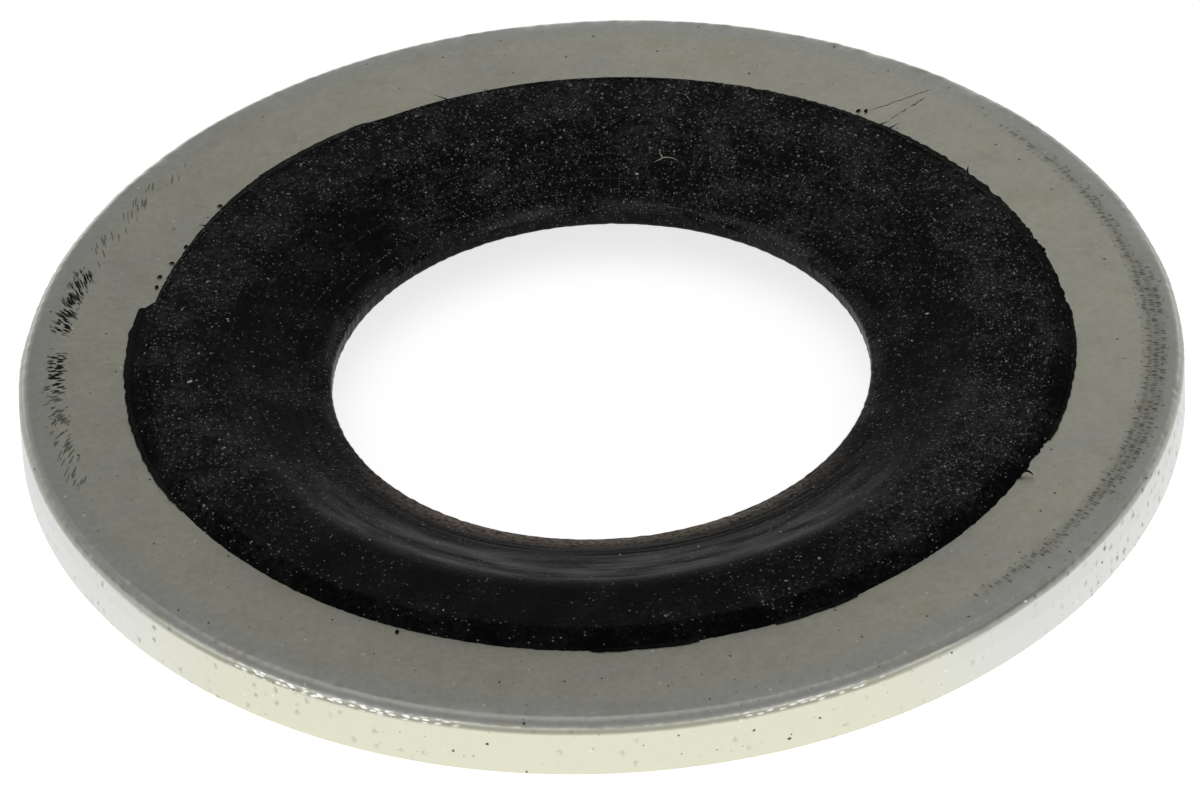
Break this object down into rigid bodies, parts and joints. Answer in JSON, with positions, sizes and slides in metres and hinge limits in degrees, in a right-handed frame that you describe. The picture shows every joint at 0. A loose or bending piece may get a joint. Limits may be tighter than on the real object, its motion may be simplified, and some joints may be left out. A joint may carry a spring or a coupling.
{
  "type": "bonded sealing washer",
  "caption": "Flat steel ring with a black rubber seal bonded into its hole: a raised crown on each face and a thin lip that grips the bolt.",
  "frame": {"origin": "on the bolt's axis, in the plane of the lower crown's flat, on which the washer lies", "axes": "+Z along the bolt's axis, out of the face with the rolled edge; X and Y are free"},
  "size_m": [0.0254, 0.0254, 0.002],
  "materials": {
    "plated_steel": "zinc-plated steel, blanked from sheet and tumbled, satin, with chatter marks near the rim",
    "nitrile_rubber": "moulded nitrile rubber, smooth satin black with fine turning lines of the mould"
  },
  "bodies": {
    "root": {"steel_washer": "plated_steel", "rubber_seal": "nitrile_rubber"}
  },
  "joints": []
}
